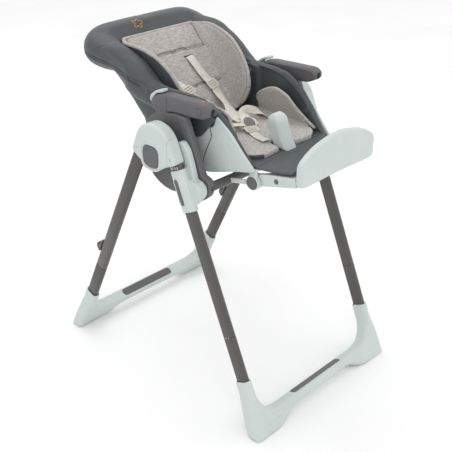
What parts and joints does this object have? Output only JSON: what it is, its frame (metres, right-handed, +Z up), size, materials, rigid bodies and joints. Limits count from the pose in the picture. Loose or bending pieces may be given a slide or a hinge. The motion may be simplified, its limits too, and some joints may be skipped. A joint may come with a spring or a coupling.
{
  "type": "baby high chair",
  "caption": "Folding baby high chair with oval leg tubes, height-adjustable reclining padded seat, harness, crotch post, armrests and adjustable legrest with footplate.",
  "frame": {"origin": "on the floor, in the middle of the chair's footprint at rest", "axes": "+Z up, +X towards the child's left, the chair faces -Y"},
  "size_m": [0.589, 0.8302, 0.9907],
  "materials": {
    "mint_plastic": "moulded pale mint-grey plastic, fine satin grain",
    "dark_plastic": "moulded dark grey plastic, fine satin grain",
    "leg_tube": "powder-coated taupe-grey oval steel tube, satin",
    "foot_rubber": "moulded black rubber",
    "axle_steel": "zinc-plated steel",
    "slate_leatherette": "slate grey faux leather with fine grain and tonal stitching",
    "melange_fabric": "melange grey knitted fabric, matt",
    "webbing": "off-white woven webbing and moulded buckle"
  },
  "bodies": {
    "front_frame": {"front_base": "mint_plastic", "front_base_grip": "dark_plastic", "front_foot_pad_right": "foot_rubber", "front_foot_pad_left": "foot_rubber", "front_leg_lower_right": "leg_tube", "front_leg_lower_left": "leg_tube", "front_leg_right": "leg_tube", "front_leg_left": "leg_tube", "hub_cover_right": "mint_plastic", "hub_cover_left": "mint_plastic", "hub_leg_cap_right": "mint_plastic", "hub_leg_cap_left": "mint_plastic", "fold_axle_right": "axle_steel", "fold_axle_left": "axle_steel"},
    "rear_frame": {"rear_base": "mint_plastic", "rear_base_grip": "dark_plastic", "rear_foot_pad_right": "foot_rubber", "rear_foot_pad_left": "foot_rubber", "rear_leg_lower_right": "leg_tube", "rear_leg_lower_left": "leg_tube", "rear_leg_right": "leg_tube", "rear_leg_left": "leg_tube", "rear_leg_head_right": "dark_plastic", "rear_leg_head_left": "dark_plastic", "tray_hook_right": "dark_plastic", "tray_hook_left": "dark_plastic"},
    "seat_carriage": {"height_slider_right": "mint_plastic", "height_slider_left": "mint_plastic", "side_frame_right": "dark_plastic", "side_frame_left": "dark_plastic", "arm_right": "dark_plastic", "arm_left": "dark_plastic", "arm_tab_right": "mint_plastic", "arm_tab_left": "mint_plastic", "seat_cross_tube": "leg_tube", "seat_pan": "mint_plastic", "seat_side_panel_right": "mint_plastic", "seat_side_panel_left": "mint_plastic", "seat_cushion": "slate_leatherette", "seat_liner": "melange_fabric", "crotch_post": "mint_plastic", "harness_buckle": "webbing"},
    "backrest": {"backrest_shell": "dark_plastic", "backrest_cushion": "slate_leatherette", "backrest_liner": "melange_fabric"},
    "recline_handle": {"recline_handle": "mint_plastic"},
    "legrest": {"legrest_frame": "mint_plastic", "legrest_pad": "slate_leatherette"},
    "footplate": {"footplate": "mint_plastic"},
    "fold_button_right": {"fold_button_right": "dark_plastic"},
    "fold_button_left": {"fold_button_left": "dark_plastic"},
    "height_lever_right": {"height_lever_right": "dark_plastic"},
    "height_lever_left": {"height_lever_left": "dark_plastic"},
    "arm_button_right": {"arm_button_right": "dark_plastic"},
    "arm_button_left": {"arm_button_left": "dark_plastic"},
    "legrest_release_right": {"legrest_release_right": "dark_plastic"},
    "legrest_release_left": {"legrest_release_left": "dark_plastic"},
    "footplate_button_right": {"footplate_button_right": "dark_plastic"},
    "footplate_button_left": {"footplate_button_left": "dark_plastic"}
  },
  "joints": [
    {"name": "fold", "type": "hinge", "parent": "front_frame", "child": "rear_frame", "pos_m": [0, -0.0165, 0.724], "axis": [-1, 0, 0], "range_deg": [0, 44]},
    {"name": "seat_height", "type": "slide", "parent": "front_frame", "child": "seat_carriage", "axis": [0, -0.3972, -0.9178], "range_m": [0, 0.24]},
    {"name": "recline", "type": "hinge", "parent": "seat_carriage", "child": "backrest", "pos_m": [0, 0.0545, 0.722], "axis": [1, 0, 0], "range_deg": [0, 34]},
    {"name": "legrest_tilt", "type": "hinge", "parent": "seat_carriage", "child": "legrest", "pos_m": [0, -0.2565, 0.684], "axis": [1, 0, 0], "range_deg": [0, 72]},
    {"name": "footplate_extend", "type": "slide", "parent": "legrest", "child": "footplate", "axis": [0, -0.9744, 0.225], "range_m": [0, 0.044]},
    {"name": "recline_squeeze", "type": "slide", "parent": "backrest", "child": "recline_handle", "axis": [0, 0.6743, 0.7385], "range_m": [0, 0.01], "stiffness_N_per_m": 700},
    {"name": "fold_press_right", "type": "slide", "parent": "front_frame", "child": "fold_button_right", "axis": [1, 0, 0], "range_m": [0, 0.006], "stiffness_N_per_m": 800},
    {"name": "fold_press_left", "type": "slide", "parent": "front_frame", "child": "fold_button_left", "axis": [-1, 0, 0], "range_m": [0, 0.006], "stiffness_N_per_m": 800},
    {"name": "height_press_right", "type": "slide", "parent": "seat_carriage", "child": "height_lever_right", "axis": [1, 0, 0], "range_m": [0, 0.0025], "stiffness_N_per_m": 900},
    {"name": "height_press_left", "type": "slide", "parent": "seat_carriage", "child": "height_lever_left", "axis": [-1, 0, 0], "range_m": [0, 0.0025], "stiffness_N_per_m": 900},
    {"name": "arm_press_right", "type": "slide", "parent": "seat_carriage", "child": "arm_button_right", "axis": [1, 0, 0], "range_m": [0, 0.0025], "stiffness_N_per_m": 900},
    {"name": "arm_press_left", "type": "slide", "parent": "seat_carriage", "child": "arm_button_left", "axis": [-1, 0, 0], "range_m": [0, 0.0025], "stiffness_N_per_m": 900},
    {"name": "legrest_press_right", "type": "slide", "parent": "seat_carriage", "child": "legrest_release_right", "axis": [1, 0, 0], "range_m": [0, 0.0045], "stiffness_N_per_m": 900},
    {"name": "legrest_press_left", "type": "slide", "parent": "seat_carriage", "child": "legrest_release_left", "axis": [-1, 0, 0], "range_m": [0, 0.0045], "stiffness_N_per_m": 900},
    {"name": "footplate_press_right", "type": "slide", "parent": "legrest", "child": "footplate_button_right", "axis": [1, 0, 0], "range_m": [0, 0.0015], "stiffness_N_per_m": 900},
    {"name": "footplate_press_left", "type": "slide", "parent": "legrest", "child": "footplate_button_left", "axis": [-1, 0, 0], "range_m": [0, 0.0015], "stiffness_N_per_m": 900}
  ]
}
